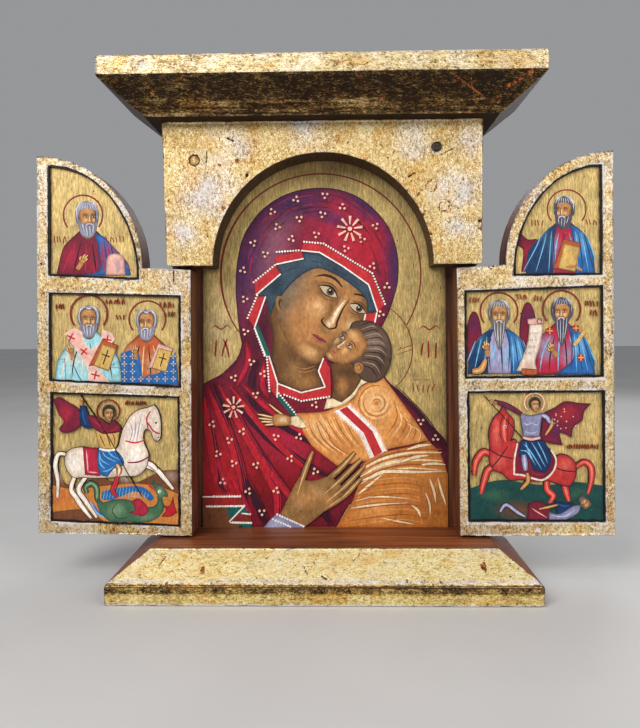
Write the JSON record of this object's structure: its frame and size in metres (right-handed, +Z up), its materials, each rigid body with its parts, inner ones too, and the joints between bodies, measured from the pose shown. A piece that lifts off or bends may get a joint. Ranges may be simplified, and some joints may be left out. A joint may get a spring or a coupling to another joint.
{
  "type": "triptych altarpiece",
  "caption": "Small gilded wooden triptych: painted panel on a bevelled base, arched header under a cornice, and two round-shouldered painted wings that swing shut on upright pins.",
  "frame": {"origin": "centre of the whole piece in plan, on the underside of the base", "axes": "+X to the viewer's right along the width with the wings open flat, -Y out of the painted front, +Z up"},
  "size_m": [0.272, 0.066, 0.2412],
  "materials": {
    "gilded_wood": "worn gold leaf over red bole, brown stained edges and back",
    "dark_gilded_wood": "rubbed and darkened gold leaf over red bole",
    "painted_panel": "egg tempera on a gold ground, satin varnish",
    "iron": "dull dark iron",
    "gilded_iron": "iron gilded over with the board"
  },
  "bodies": {
    "case": {"base": "gilded_wood", "picture_panel": "painted_panel", "arched_header": "gilded_wood", "cornice": "dark_gilded_wood", "left_top_pin": "iron", "left_bottom_pin": "iron", "right_top_pin": "iron", "right_bottom_pin": "iron", "header_nail_left": "gilded_iron", "header_nail_right": "iron"},
    "left_wing": {"left_wing": "gilded_wood"},
    "right_wing": {"right_wing": "gilded_wood"}
  },
  "joints": [
    {"name": "left_wing_hinge", "type": "hinge", "parent": "case", "child": "left_wing", "pos_m": [-0.0683, 0.0055, 0.0845], "axis": [0, 0, 1], "range_deg": [-25, 180]},
    {"name": "right_wing_hinge", "type": "hinge", "parent": "case", "child": "right_wing", "pos_m": [0.0683, 0.0055, 0.0845], "axis": [0, 0, -1], "range_deg": [-25, 180]}
  ]
}
